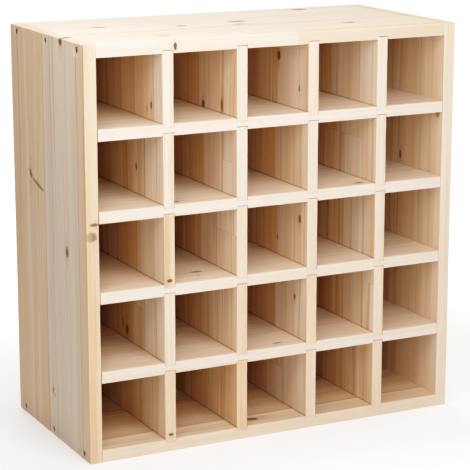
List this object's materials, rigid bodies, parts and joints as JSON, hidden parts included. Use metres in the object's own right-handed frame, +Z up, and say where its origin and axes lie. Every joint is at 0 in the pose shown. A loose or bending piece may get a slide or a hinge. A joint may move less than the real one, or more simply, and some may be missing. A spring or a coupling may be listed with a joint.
{
  "type": "wine rack",
  "caption": "Free-standing pine wine rack: a square case with a grid of square open-fronted compartments, each for one bottle laid on its side.",
  "frame": {"origin": "centre of the underside, on the surface the rack stands on", "axes": "+Z up, -Y towards the open front, +X to the right for someone facing the front"},
  "size_m": [0.52, 0.25, 0.52],
  "materials": {
    "side_pine": "planed, unfinished knotty pine, grain upright",
    "panel_pine": "planed, unfinished knotty pine, grain across the width",
    "shelf_pine": "planed, unfinished pine, grain across the width",
    "divider_pine": "planed, unfinished pine, grain upright",
    "back_plywood": "thin sanded plywood, unfinished",
    "screw_steel": "yellow zinc plated",
    "dowel_beech": "turned beech",
    "pin_steel": "bright drawn wire"
  },
  "bodies": {
    "root": {"left_side": "side_pine", "right_side": "side_pine", "top_panel": "panel_pine", "bottom_panel": "panel_pine", "back_panel": "back_plywood", "shelf_1": "shelf_pine", "shelf_2": "shelf_pine", "shelf_3": "shelf_pine", "shelf_4": "shelf_pine", "divider_1_1": "divider_pine", "divider_1_2": "divider_pine", "divider_1_3": "divider_pine", "divider_1_4": "divider_pine", "divider_2_1": "divider_pine", "divider_2_2": "divider_pine", "divider_2_3": "divider_pine", "divider_2_4": "divider_pine", "divider_3_1": "divider_pine", "divider_3_2": "divider_pine", "divider_3_3": "divider_pine", "divider_3_4": "divider_pine", "divider_4_1": "divider_pine", "divider_4_2": "divider_pine", "divider_4_3": "divider_pine", "divider_4_4": "divider_pine", "divider_5_1": "divider_pine", "divider_5_2": "divider_pine", "divider_5_3": "divider_pine", "divider_5_4": "divider_pine", "left_screws": "screw_steel", "right_screws": "screw_steel", "shelf_dowels": "dowel_beech", "back_pins": "pin_steel"}
  },
  "joints": []
}
